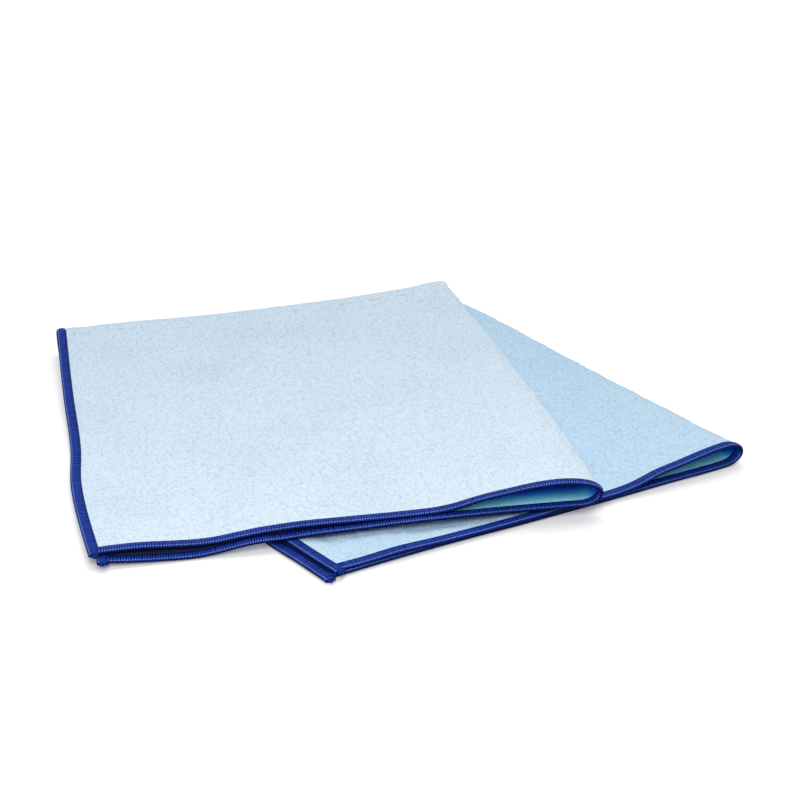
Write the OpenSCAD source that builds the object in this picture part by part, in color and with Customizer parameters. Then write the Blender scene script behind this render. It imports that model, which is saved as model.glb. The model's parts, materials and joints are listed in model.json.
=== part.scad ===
// Plush microfibre polishing cloth with overlocked hems, folded twice and lying on a flat surface.
// The first fold lays the cloth's two long halves on each other, which leaves a soft loop at the right.
// The second fold lays the doubled cloth on itself, a little off square, along the far edge.
// Plies from the table up: lower bottom, lower top, upper bottom, upper top.
// The far fold lies along X, the front hems face -Y and the cloth rests on z = 0.

/* [Cloth] */
// Width of the cloth laid flat, across the first fold
cloth_w = 400; // [320:5:480]
// Length of the cloth laid flat, across the second fold
cloth_l = 485; // [405:5:580]
// Thickness of one ply as it lies
sheet_t = 1.2; // [1:0.1:1.6]
// Air between two plies of one half
ply_gap = 0.2; // [0.15:0.05:0.6]

/* [Folds] */
// How far the first fold lies off the middle of the cloth
crease_offset = 2.7; // [1:0.1:6]
// Angle of the second fold off square
fold_skew = 9.2; // [6:0.1:13]
// Length of the lower half along the first fold
lower_run = 228; // [190:1:250]
// How far the lower half's two front edges are staggered, each way from their mean
lower_stagger = 0.5; // [0:0.1:2]
// Clear height between the lower half's hems and the upper half
half_gap = 0.4; // [0.3:0.05:1]
// Gap between the upper half and the far fold
fold_gap = 0.3; // [0.2:0.05:0.6]
// How far the far fold springs open at its left end
corner_lift = 2.6; // [0:0.1:4]
// Reach of that lift towards the front
lift_reach = 90; // [40:5:140]
// Width over which the upper half sinks to the table beside the lower half
drape_w = 30; // [20:1:45]

/* [Loops] */
// Outer height of the lower half's loop at the front
lower_loop_h = 8.5; // [7:0.1:12]
// Length of the lower half's loop at the front
lower_loop_len = 64; // [40:1:68]
// Distance from the lower loop's tip to its crest
lower_crest_in = 9; // [7:0.5:14]
// Distance from the lower loop's tip to where it leaves the table
lower_nose_in = 6; // [4:0.5:10]
// Outer height of the upper half's loop at the front
upper_loop_h = 10.5; // [8:0.1:14]
// Length of the upper half's loop at the front
upper_loop_len = 72; // [45:1:90]
// Distance from the upper loop's tip to its crest
upper_crest_in = 15; // [9:0.5:20]
// Distance from the upper loop's tip to where it leaves the ply below
upper_nose_in = 8; // [5:0.5:12]
// Height of a loop's tip as a share of its crest
nose_share = 0.52; // [0.45:0.01:0.6]

/* [Hems] */
// Width of the overlocked hem
hem_w = 4; // [3:0.1:5.5]
// Thickness of the hem with the sheet inside it
hem_t = 1.6; // [1.4:0.1:2.2]
// Thickness of the sheet where the hem squeezes it
core_t = 0.8; // [0.6:0.05:1]
// Clearance between the thread wrap and the sheet inside it
wrap_gap = 0.05; // [0.03:0.01:0.1]
// Width over which the sheet thickens beside the hem
hem_step = 1; // [0.8:0.1:1.5]
// Width over which the plies spread apart towards the hems
flare_w = 14; // [10:0.5:20]
// Height of the needle thread above the sheet's groove
needle_h = 0.2; // [0.1:0.05:0.2]
// Length of the trimmed thread chain at each corner
tail_len = 3; // [1.5:0.5:6]
// Width and thickness of the thread chain's end as a share of its root
tail_taper = 0.45; // [0.3:0.05:0.8]

/* [Hidden] */

plush_blue = [0.80, 0.88, 0.95];
hem_blue = [0.12, 0.20, 0.56];
needle_blue = [0.20, 0.30, 0.68];

// Grid counts: rows towards the front, and steps of a nose quarter, a loop's taper and a flat ply
row_n = 9;
nose_n = 4;
taper_n = 6;
lower_flat_n = 5;
upper_flat_n = 9;
fold_n = 10;
fold_flat_n = 4;

// Heights of the plies and of the far fold's axis
ply_pitch = sheet_t + ply_gap;
half_z = 2 * hem_t + ply_gap + half_gap;
lower_top_z = sheet_t / 2 + ply_pitch;
upper_bottom_z = half_z + sheet_t / 2;
axis_z = (lower_top_z + upper_bottom_z) / 2;
inner_r = (upper_bottom_z - lower_top_z) / 2;
outer_r = inner_r + ply_pitch;

// Lengths of the plies from the first fold to the side hems and from the far fold to the front hems
outer_w = cloth_w / 2 + crease_offset;
inner_w = cloth_w - outer_w;
upper_run = cloth_l - lower_run - PI * (inner_r + outer_r) / 2;
upper_stagger = PI * (outer_r - inner_r) / 2 - lower_stagger;
hem_wall = (hem_t - core_t) / 2;
hem_inset = hem_w + hem_step;
far_from_hem = cloth_w;

// Rows of the sheet: share of the way to the front, and distance kept from the front edge there
rows = concat(
    [for (k = [0:row_n]) [k / row_n, hem_inset]],
    [[1, hem_w], [1, 0]]
);
last_row = len(rows) - 1;

function lerp(a, b, f) = a + (b - a) * f;
function clamp(f) = max(0, min(1, f));
function ease(f) = let (g = clamp(f)) g * g * (3 - 2 * g);
function unit(v) = v / norm(v);
function reverse(list) = [for (i = [len(list) - 1:-1:0]) list[i]];
function path(pts, from, to) = from >= to ? 0 : norm(pts[from + 1] - pts[from]) + path(pts, from + 1, to);

// Sizes that differ between the two halves
function loop_h(upper) = upper ? upper_loop_h : lower_loop_h;
function loop_len(upper) = upper ? upper_loop_len : lower_loop_len;
function crest_in(upper) = upper ? upper_crest_in : lower_crest_in;
function nose_in(upper) = upper ? upper_nose_in : lower_nose_in;
function flat_n(upper) = upper ? upper_flat_n : lower_flat_n;
function bottom_w(upper) = upper ? inner_w : outer_w;
function top_w(upper) = upper ? outer_w : inner_w;
function run(upper, ply) = upper
    ? upper_run + upper_stagger * (1 - 2 * ply)
    : lower_run - lower_stagger * (1 - 2 * ply);

// A half's own plan directions: along the first fold to the front, and from that fold to the side hem
function to_front(upper) = [(upper ? -1 : 1) * sin(fold_skew), -cos(fold_skew)];
function to_side(upper) = [-cos(fold_skew), (upper ? 1 : -1) * sin(fold_skew)];
function plan(upper, r, s) = r * to_front(upper) + s * to_side(upper);
function far_edge(upper, s) = upper
    ? s * tan(fold_skew) + fold_gap / cos(fold_skew)
    : -s * tan(fold_skew);

// The loop at the first fold: distance from its tip and height over the ply below, f of the way forward
function loop_curve(upper, f) =
    let (
        crest = lerp(ply_pitch, loop_h(upper) - sheet_t, f),
        tip = nose_share * crest,
        nose_x = lerp(ply_pitch / 2, nose_in(upper), f),
        crest_x = lerp(ply_pitch / 2, crest_in(upper), f),
        end_x = lerp(ply_pitch, loop_len(upper), f)
    )
    concat(
        [for (i = [0:nose_n]) let (a = 90 * i / nose_n) [nose_x * (1 - sin(a)), tip * (1 - cos(a))]],
        [for (i = [1:nose_n]) let (a = 90 * i / nose_n) [crest_x * (1 - cos(a)), lerp(tip, crest, sin(a))]],
        [for (i = [1:taper_n])
            let (g = i / taper_n)
            [lerp(crest_x, end_x, g), lerp(crest, ply_pitch, (1 - cos(180 * g)) / 2)]]
    );
function bottom_edge(upper, loop) = loop[0][0] + bottom_w(upper) - path(loop, 0, nose_n);
function top_edge(upper, loop) =
    let (last = len(loop) - 1)
    loop[last][0] + top_w(upper) - path(loop, nose_n, last);

// Places on a flat ply from its side edge to where its loop starts
function flat_steps(edge, start, n) =
    let (inside = edge - hem_inset)
    concat([edge, edge - hem_w], [for (i = [0:n - 1]) lerp(inside, start, i / n)]);

// One row of a half: place from the first fold, rise over the bottom ply, ply (0 to 1), distance from the
// side edge, and the place that sets the height, so that both plies' side hems lie level
function columns(upper, f) =
    let (
        loop = loop_curve(upper, f),
        last = len(loop) - 1,
        low = bottom_edge(upper, loop),
        top = top_edge(upper, loop),
        level = min(low, top) - hem_inset
    )
    concat(
        [for (s = flat_steps(low, loop[0][0], flat_n(upper))) [s, 0, 0, low - s, min(s, level)]],
        [for (i = [0:last]) [loop[i][0], loop[i][1], i / last, far_from_hem, loop[i][0]]],
        [for (s = reverse(flat_steps(top, loop[last][0], flat_n(upper))))
            [s, ply_pitch, 1, top - s, min(s, level)]]
    );

// Side edges of the four plies at the far fold
outer_low = bottom_edge(false, loop_curve(false, 0));
outer_top = top_edge(true, loop_curve(true, 0));
inner_low = top_edge(false, loop_curve(false, 0));
inner_top = bottom_edge(true, loop_curve(true, 0));

// Height that the upper half lies at: on the lower half, and beside it down on the table
function base_z(upper, xy) =
    upper ? half_z * (1 - ease((xy * to_side(false) - outer_low) / drape_w)) : 0;
function lift(upper, xy) =
    upper ? corner_lift * pow(clamp(-xy[0] / outer_w), 3) * pow(clamp(1 + xy[1] / lift_reach), 2) : 0;

// A point in the middle of the sheet, with the front hems level too
function mid_point(upper, row, col) =
    let (
        reach = run(upper, col[2]),
        r = lerp(far_edge(upper, col[0]), reach - row[1], row[0]),
        xy = plan(upper, r, col[0]),
        level_r = min(run(upper, 0), run(upper, 1)) - hem_inset,
        level = plan(upper, min(r, level_r), col[4]),
        hem_near = ease((flare_w - min(col[3], reach - r)) / (flare_w - hem_inset)),
        flare = hem_near * (hem_t - sheet_t) * (0.5 + col[2]),
        rise = base_z(upper, level) + col[2] * lift(upper, level)
    )
    [xy[0], xy[1], rise + sheet_t / 2 + col[1] + flare];
function mid_grid(upper) = [for (row = rows) [for (col = columns(upper, row[0])) mid_point(upper, row, col)]];

// Outward normals of a grid, from its neighbouring points
function normal_at(g, k, j) =
    let (
        k0 = max(0, k - 1),
        k1 = min(len(g) - 1, k + 1),
        j0 = max(0, j - 1),
        j1 = min(len(g[0]) - 1, j + 1)
    )
    unit(cross(g[k][j1] - g[k][j0], g[k1][j] - g[k0][j]));
function normals(g) = [for (k = [0:len(g) - 1]) [for (j = [0:len(g[0]) - 1]) normal_at(g, k, j)]];
function shifted(g, n, h) = [for (k = [0:len(g) - 1])
    [for (j = [0:len(g[0]) - 1]) g[k][j] + n[k][j] * h[k][j]]];

// Half the thickness at each grid point: squeezed in the front and side hems
function half_t(squeezed) = (squeezed ? core_t : sheet_t) / 2;
function half_thickness(g) =
    let (last = len(g[0]) - 1)
    [for (k = [0:len(g) - 1]) [for (j = [0:last]) half_t(k >= last_row - 1 || j <= 1 || j >= last - 1)]];

lower_grid = mid_grid(false);
lower_normals = normals(lower_grid);
upper_grid = mid_grid(true);
upper_normals = normals(upper_grid);
lower_last = len(lower_grid[0]) - 1;
upper_last = len(upper_grid[0]) - 1;

// The far fold: rows round its axis from the lower half to the upper, columns from the side edge inwards
function fold_steps(edge) = concat(flat_steps(edge, ply_pitch, fold_flat_n), [ply_pitch]);
function fold_column(edge, d, ply, level) =
    [edge - d, ply * ply_pitch, ply, d, min(edge - d, level - hem_inset)];
function fold_point(outer, d, a, h) =
    let (
        low_col = outer ? fold_column(outer_low, d, 0, inner_low) : fold_column(inner_low, d, 1, inner_low),
        top_col = outer ? fold_column(outer_top, d, 1, inner_top) : fold_column(inner_top, d, 0, inner_top),
        low = mid_point(false, rows[0], low_col),
        top = mid_point(true, rows[0], top_col),
        r = (top[2] - low[2]) / 2
    )
    [lerp(low[0], top[0], (a + 90) / 180), (r + h) * cos(a), low[2] + r + (r + h) * sin(a)];
fold_angles = [for (i = [0:fold_n]) lerp(-90, 90, i / fold_n)];
function fold_grid(outer, side) =
    let (
        edge = outer ? outer_low : inner_low,
        steps = fold_steps(edge)
    )
    [for (a = fold_angles)
        [for (j = [0:len(steps) - 1]) fold_point(outer, edge - steps[j], a, side * half_t(j <= 1))]];

// The closed solid between two grids of points
module slab(top, bottom) {
    n = len(top);
    m = len(top[0]);
    points = concat([for (row = top) each row], [for (row = bottom) each row]);
    function at(side, k, j) = (side * n + k) * m + j;
    function quad(a, b, c, d) = [[a, b, c], [a, c, d]];
    skins = [for (k = [0:n - 2]) for (j = [0:m - 2]) each concat(
        quad(at(0, k, j), at(0, k, j + 1), at(0, k + 1, j + 1), at(0, k + 1, j)),
        quad(at(1, k, j), at(1, k + 1, j), at(1, k + 1, j + 1), at(1, k, j + 1))
    )];
    ends = [for (j = [0:m - 2]) each concat(
        quad(at(0, 0, j), at(1, 0, j), at(1, 0, j + 1), at(0, 0, j + 1)),
        quad(at(0, n - 1, j), at(0, n - 1, j + 1), at(1, n - 1, j + 1), at(1, n - 1, j))
    )];
    sides = [for (k = [0:n - 2]) each concat(
        quad(at(0, k, 0), at(0, k + 1, 0), at(1, k + 1, 0), at(1, k, 0)),
        quad(at(0, k, m - 1), at(1, k, m - 1), at(1, k + 1, m - 1), at(0, k + 1, m - 1))
    )];
    faces = concat(skins, ends, sides);
    turn = cross(top[1][0] - top[0][0], top[0][1] - top[0][0]) * (top[0][0] - bottom[0][0]);
    polyhedron(points, turn > 0 ? faces : [for (f = faces) reverse(f)]);
}

// Stations along a hem: edge point, point at the hem's inner border, point past it, normal, outward
function front_stations(g, n) = [for (j = [2:len(g[0]) - 3])
    [g[last_row][j], g[last_row - 1][j], g[last_row - 2][j], n[last_row][j],
        unit(g[last_row][j] - g[last_row - 1][j])]];
function side_stations(g, n, j0, j1, j2) = [for (k = [0:last_row])
    [g[k][j0], g[k][j1], g[k][j2], n[k][j1], unit(g[k][j0] - g[k][j1])]];
function fold_stations(outer) = [for (a = fold_angles)
    [fold_point(outer, 0, a, 0), fold_point(outer, hem_w, a, 0), fold_point(outer, hem_inset, a, 0),
        [0, cos(a), sin(a)], [-1, 0, 0]]];

// The thread wrap's section round the sheet's edge, at half thickness h and standing out by o
function wrap_line(st, h, o) = [
    st[1] + st[3] * h,
    st[0] + st[3] * h,
    st[0] + st[4] * o + st[3] * h / 2,
    st[0] + st[4] * o - st[3] * h / 2,
    st[0] - st[3] * h,
    st[1] - st[3] * h
];
function wrap_outside(stations) = [for (st = stations) wrap_line(st, hem_t / 2, hem_wall)];
function wrap_inside(stations) = [for (st = stations) wrap_line(st, core_t / 2 + wrap_gap, wrap_gap)];

// The needle thread lies in the groove beside the wrap
needle_from = 0.1;
needle_to = 0.55;
needle_z = lerp(core_t, sheet_t, needle_to) / 2 + wrap_gap;
function needle_line(stations, h) = [for (st = stations)
    [for (f = [needle_from, needle_to]) lerp(st[1], st[2], f) + st[3] * h]];

// The thread chain runs on from the end of a side hem
tail_from = 0.15;
tail_to = 0.85;
function tail_grid(st, ahead, side) = [for (f = [0, 1])
    let (
        scale_f = lerp(1, tail_taper, f),
        middle = lerp(st[0], st[1], (tail_from + tail_to) / 2),
        across = (st[1] - st[0]) * (tail_to - tail_from) / 2 * scale_f,
        from = [ahead[0], ahead[1], 0] * lerp(wrap_gap, tail_len, f)
    )
    [for (e = [-1, 1]) middle + from + across * e + st[3] * side * scale_f * core_t / 2]];

lower_front = front_stations(lower_grid, lower_normals);
lower_outer_side = side_stations(lower_grid, lower_normals, 0, 1, 2);
lower_inner_side = side_stations(lower_grid, lower_normals, lower_last, lower_last - 1, lower_last - 2);
upper_front = front_stations(upper_grid, upper_normals);
upper_outer_side = side_stations(upper_grid, upper_normals, upper_last, upper_last - 1, upper_last - 2);
upper_inner_side = side_stations(upper_grid, upper_normals, 0, 1, 2);

// The origin lies on the table under the middle of the folded cloth's outline
function outline(axis) =
    let (
        hems = [lower_front, lower_outer_side, upper_outer_side, fold_stations(true)],
        tails = [
            tail_grid(lower_outer_side[last_row], to_front(false), 1),
            tail_grid(lower_inner_side[last_row], to_front(false), 1),
            tail_grid(upper_outer_side[last_row], to_front(true), 1)
        ],
        grids = concat([for (stations = hems) wrap_outside(stations)], tails),
        values = [for (g = grids) for (line = g) for (p = line) p[axis]]
    )
    [min(values), max(values)];
centre = [for (axis = [0, 1]) (outline(axis)[0] + outline(axis)[1]) / 2];

module placed() {
    translate([-centre[0], -centre[1], 0]) children();
}

module panel(g, n) {
    h = half_thickness(g);
    color(plush_blue) placed() slab(shifted(g, n, h), shifted(g, n, -h));
}

module fold_strip(outer) {
    color(plush_blue) placed() slab(fold_grid(outer, 1), fold_grid(outer, -1));
}

module hem(stations) {
    color(hem_blue) placed() slab(wrap_outside(stations), wrap_inside(stations));
}

module needle_thread(stations) {
    color(needle_blue) placed()
        slab(needle_line(stations, needle_z + needle_h), needle_line(stations, needle_z));
}

module thread_tail(stations, upper) {
    st = stations[last_row];
    color(hem_blue) placed()
        slab(tail_grid(st, to_front(upper), 1), tail_grid(st, to_front(upper), -1));
}

module lower_panel() { panel(lower_grid, lower_normals); }
module lower_front_hem() { hem(lower_front); }
module lower_front_needle_thread() { needle_thread(lower_front); }
module lower_outer_side_hem() { hem(lower_outer_side); }
module lower_outer_side_needle_thread() { needle_thread(lower_outer_side); }
module lower_inner_side_hem() { hem(lower_inner_side); }
module lower_inner_side_needle_thread() { needle_thread(lower_inner_side); }
module lower_outer_thread_tail() { thread_tail(lower_outer_side, false); }
module lower_inner_thread_tail() { thread_tail(lower_inner_side, false); }
module far_fold_outer() { fold_strip(true); }
module far_fold_inner() { fold_strip(false); }
module far_fold_outer_hem() { hem(fold_stations(true)); }
module far_fold_inner_hem() { hem(fold_stations(false)); }
module upper_panel() { panel(upper_grid, upper_normals); }
module upper_front_hem() { hem(upper_front); }
module upper_front_needle_thread() { needle_thread(upper_front); }
module upper_outer_side_hem() { hem(upper_outer_side); }
module upper_outer_side_needle_thread() { needle_thread(upper_outer_side); }
module upper_inner_side_hem() { hem(upper_inner_side); }
module upper_inner_side_needle_thread() { needle_thread(upper_inner_side); }
module upper_outer_thread_tail() { thread_tail(upper_outer_side, true); }
module upper_inner_thread_tail() { thread_tail(upper_inner_side, true); }

// The far fold turns about a line midway between the plies it joins, from its right end to its left
fold_left = (fold_point(true, 0, -90, 0) + fold_point(true, 0, 90, 0)) / 2;
echo(far_fold_point = [-centre[0], -centre[1], axis_z]);
echo(far_fold_axis = unit([fold_left[0], 0, fold_left[2] - axis_z]));

lower_panel();
lower_front_hem();
lower_front_needle_thread();
lower_outer_side_hem();
lower_outer_side_needle_thread();
lower_inner_side_hem();
lower_inner_side_needle_thread();
lower_outer_thread_tail();
lower_inner_thread_tail();
far_fold_outer();
far_fold_inner();
far_fold_outer_hem();
far_fold_inner_hem();
upper_panel();
upper_front_hem();
upper_front_needle_thread();
upper_outer_side_hem();
upper_outer_side_needle_thread();
upper_inner_side_hem();
upper_inner_side_needle_thread();
upper_outer_thread_tail();
upper_inner_thread_tail();
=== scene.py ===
import json
import math

import bmesh
import bpy
import numpy as np
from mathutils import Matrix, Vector

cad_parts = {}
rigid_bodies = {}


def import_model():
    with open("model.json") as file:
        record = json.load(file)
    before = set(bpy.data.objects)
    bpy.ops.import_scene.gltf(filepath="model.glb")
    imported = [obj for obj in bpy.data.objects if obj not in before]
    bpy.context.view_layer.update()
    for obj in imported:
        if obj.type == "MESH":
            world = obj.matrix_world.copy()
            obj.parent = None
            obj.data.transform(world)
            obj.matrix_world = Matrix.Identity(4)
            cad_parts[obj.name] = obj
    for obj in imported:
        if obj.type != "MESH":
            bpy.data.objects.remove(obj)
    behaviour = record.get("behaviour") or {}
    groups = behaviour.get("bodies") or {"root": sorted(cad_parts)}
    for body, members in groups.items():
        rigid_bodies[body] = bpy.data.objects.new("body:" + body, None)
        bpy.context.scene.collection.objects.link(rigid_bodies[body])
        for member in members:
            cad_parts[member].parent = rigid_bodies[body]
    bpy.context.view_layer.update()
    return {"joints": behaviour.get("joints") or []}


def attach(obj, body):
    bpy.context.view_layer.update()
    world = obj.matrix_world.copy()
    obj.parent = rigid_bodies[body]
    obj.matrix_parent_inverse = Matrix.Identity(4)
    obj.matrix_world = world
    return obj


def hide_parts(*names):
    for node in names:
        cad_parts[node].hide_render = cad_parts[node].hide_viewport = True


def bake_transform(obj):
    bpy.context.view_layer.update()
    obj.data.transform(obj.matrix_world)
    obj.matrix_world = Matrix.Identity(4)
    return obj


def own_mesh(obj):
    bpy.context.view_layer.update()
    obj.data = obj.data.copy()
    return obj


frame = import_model()
mm = 0.001
farFold = frame["joints"][0]
foldEnd = np.array(farFold["pos_m"]) / mm  # right end of the far fold, on its axis
lowerBody = farFold["parent"]
upperBody = farFold["child"]

# all sizes are in millimetres until a mesh is made
cloth = {
    "width": 400.0,  # laid flat, across the first fold
    "length": 485.0,  # laid flat, across the far fold
    "thickness": 1.2,
    "plyGap": 0.2,
    "halfGap": 0.4,
    "creaseOffset": 2.7,  # first fold off the middle of the cloth
    "skew": math.radians(9.2),  # far fold off square
    "lowerRun": 228.0,
    "lowerStagger": 0.5,
    "noseShare": 0.52,  # height of a loop's tip over its crest's
    "drapeWidth": 30.0,
    "drapeMargin": 1.0,
    "cornerLift": 2.6,  # far left corner springs open
    "liftReach": 90.0,
    "flareWidth": 14.0,
    "frontFade": 70.0,  # how far back the front edge's waves reach
    "foldFade": 45.0,  # how far forward the far fold's swell reaches
    "creaseFade": 70.0,
    "foldSwell": [(0, 6.8), (5, 5.3), (16, 3.2), (27, 3.2), (55, 2.8), (95, 2.8), (134, 3.0), (170, 3.8),
                  (205, 3.1)],
    "swellShare": 0.3,  # of the swell, on the upper half's bottom ply
    "foldBack": [(0, 3.0), (16, 1.8), (40, 0.8), (100, 0.5), (160, 1.2), (205, 1.5)],
    "blunt": 2.0,  # the far right corner is blunt
    "bluntReach": 10.0,
    "foldRoom": 1.5,  # the halves end short of the far fold
    "turnSteps": 24,  # points on a quarter of a loop's tip, and on its way down to the flat
    "runSteps": 40,
    "cell": 1.25,
    "fineCell": 0.5,  # columns round the first fold
    "fineWidth": 12.0,
}
hem = {
    "width": 4.0,
    "thickness": 1.6,
    "core": 0.8,  # cloth pressed inside the hem
    "pressIn": 1.0,  # the cloth thickens from this far inside the hem's border, over this width
    "pressOver": 2.0,
    "cutEdge": 0.4,  # share of the core's thickness at the cut edge
    "step": 1.0,
    "loft": 0.33,
}

plyPitch = cloth["thickness"] + cloth["plyGap"]
upperBase = 2 * hem["thickness"] + cloth["plyGap"] + cloth["halfGap"]
innerBend = (upperBase - plyPitch) / 2
outerBend = innerBend + plyPitch
outerWidth = cloth["width"] / 2 + cloth["creaseOffset"]
innerWidth = cloth["width"] - outerWidth
upperRun = cloth["length"] - cloth["lowerRun"] - math.pi * (innerBend + outerBend) / 2
upperStagger = math.pi * plyPitch / 2 - cloth["lowerStagger"]
hemInset = hem["width"] + hem["step"]
sinSkew = math.sin(cloth["skew"])
cosSkew = math.cos(cloth["skew"])
lowerSide = np.array([-cosSkew, -sinSkew])

# topWave and bottomWave: how each ply's front edge rises and falls, by distance from the loop's tip
# topReach and bottomReach: how far each ply's front edge runs out
# topSide, bottomSide and crease: the same for its side edge and for the first fold, by the way to the front
# farOpen: how far the first fold stays open at its far end; farRound: how round it is there
lowerHalf = {
    "name": "lower",
    "body": lowerBody,
    "turn": 1,
    "run": cloth["lowerRun"],
    "stagger": -cloth["lowerStagger"],
    "bottomWidth": outerWidth,
    "topWidth": innerWidth,
    "bottomHem": "outer",
    "topHem": "inner",
    "base": 0.0,
    "loopHeight": 9.9,
    "loopLength": 62.0,
    "farOpen": 0.0,
    "farRound": 0.0,
    "crestIn": 9.0,
    "noseIn": 8.5,
    "topWave": [(0, 0), (20, 0.2), (31, 0.9), (45, 1.9), (56, 0.6), (66, -0.2), (80, -0.3), (100, -0.4),
                (130, -0.7), (148, -0.6), (165, -0.1), (182, -0.6), (205, 0)],
    "bottomWave": [(0, 0), (205, 0)],
    "topReach": [(0, 3.2), (14, 3.6), (42, 3.2), (72, 3.0), (112, 2.2), (150, 0.8), (185, 0), (205, 0)],
    "bottomReach": [(0, 3.2), (14, 3.6), (42, 3.2), (72, 3.4), (112, 2.6), (150, 1.4), (185, 1.6),
                    (205, 2.2)],
    "topSide": [(0, 0), (0.6, 3.6), (0.88, 5.4), (0.95, 3.3), (1, 1.6)],
    "bottomSide": [(0, 0), (0.6, 3.4), (0.86, 5.2), (0.94, 2.2), (1, 0.5)],
    "crease": [(0, -0.9), (0.1, -1.6), (0.3, -0.9), (0.6, 0.7), (0.78, 1.0), (1, 1.2)],
    "pileSeed": 11,
}
upperHalf = {
    "name": "upper",
    "body": upperBody,
    "turn": -1,
    "run": upperRun,
    "stagger": upperStagger,
    "bottomWidth": innerWidth,
    "topWidth": outerWidth,
    "bottomHem": "inner",
    "topHem": "outer",
    "base": upperBase + hem["loft"],
    "loopHeight": 10.9,
    "loopLength": 72.0,
    "farOpen": 0.36,
    "farRound": 0.12,
    "crestIn": 15.0,
    "noseIn": 8.0,
    "topWave": [(0, 0), (34, 0.1), (49, 0.9), (61, 0.1), (80, -0.3), (100, -0.2), (122, -0.2), (134, -0.8),
                (150, -0.2), (160, 0.7), (170, 1.3), (182, 2.0), (192, 1.9), (205, 1.2)],
    "bottomWave": [(0, 0), (80, 0.2), (100, -0.2), (115, -0.4), (127, -1.0), (140, -0.7), (165, 0),
                   (180, 0.6), (192, 1.4), (200, 1.9)],
    "topReach": [(0, 0), (205, 0)],
    "bottomReach": [(0, 0), (15, -0.6), (80, -0.8), (120, 0), (140, 0.3), (165, 0.9), (185, 0.5),
                    (200, -0.2)],
    "topSide": [(0, 1.2), (0.3, 1.7), (0.55, 2.0), (0.7, 4.0), (0.8, 3.8), (0.88, 3.1), (1, 1.6)],
    "bottomSide": [(0, 0.6), (0.7, 0.8), (0.85, 2.2), (1, 4.3)],
    "crease": [(0, 0.8), (0.03, 1.7), (0.1, 0.4), (0.25, -1.4), (0.5, -1.9), (0.8, -1.0), (1, 1.6)],
    "pileSeed": 12,
}


def ease(f):
    g = np.clip(f, 0, 1)
    return g * g * (3 - 2 * g)


def throughPoints(points, x):  # a smooth line through a few set points
    px, py = np.array(points, float).T
    slope = np.gradient(py, px) if len(px) > 2 else np.zeros(len(px))
    i = np.clip(np.searchsorted(px, x) - 1, 0, len(px) - 2)
    w = px[i + 1] - px[i]
    t = np.clip((x - px[i]) / w, 0, 1)
    rise = (3 - 2 * t) * t * t
    return (py[i] * (1 - rise) + py[i + 1] * rise
            + w * t * (1 - t) * (slope[i] * (1 - t) - slope[i + 1] * t))


def unit(v):
    return v / np.linalg.norm(v, axis=-1, keepdims=True)


def loopLine(half, f):  # section of the loop at the first fold, f of the way to the front
    opened = math.hypot(f, half["farOpen"] * (1 - f))
    rounded = math.hypot(f, half["farRound"] * (1 - f))
    crest = plyPitch + (half["loopHeight"] - cloth["thickness"] - plyPitch) * opened
    tip = cloth["noseShare"] * crest
    noseX = plyPitch / 2 + (half["noseIn"] - plyPitch / 2) * rounded
    crestX = plyPitch / 2 + (half["crestIn"] - plyPitch / 2) * rounded
    endX = plyPitch + (half["loopLength"] - plyPitch) * opened
    a = np.linspace(0, math.pi / 2, cloth["turnSteps"])
    g = np.linspace(0, 1, cloth["runSteps"])[1:]
    x = np.concatenate([noseX * (1 - np.sin(a)), crestX * (1 - np.cos(a[1:])),
                        crestX + (endX - crestX) * g])
    h = np.concatenate([tip * (1 - np.cos(a)), tip + (crest - tip) * np.sin(a[1:]),
                        crest + (plyPitch - crest) * (1 - np.cos(math.pi * g)) / 2])
    along = np.concatenate([[0], np.cumsum(np.hypot(np.diff(x), np.diff(h)))])
    return x, h, along - along[len(a) - 1]


def farEdge(half, s):
    return -half["turn"] * s * sinSkew / cosSkew


def toPlan(half, r, s):  # way from the fold and way from the first fold, to the ground plan
    turn = half["turn"]
    return np.stack([turn * r * sinSkew - s * cosSkew, -r * cosSkew - turn * s * sinSkew], -1)


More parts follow.
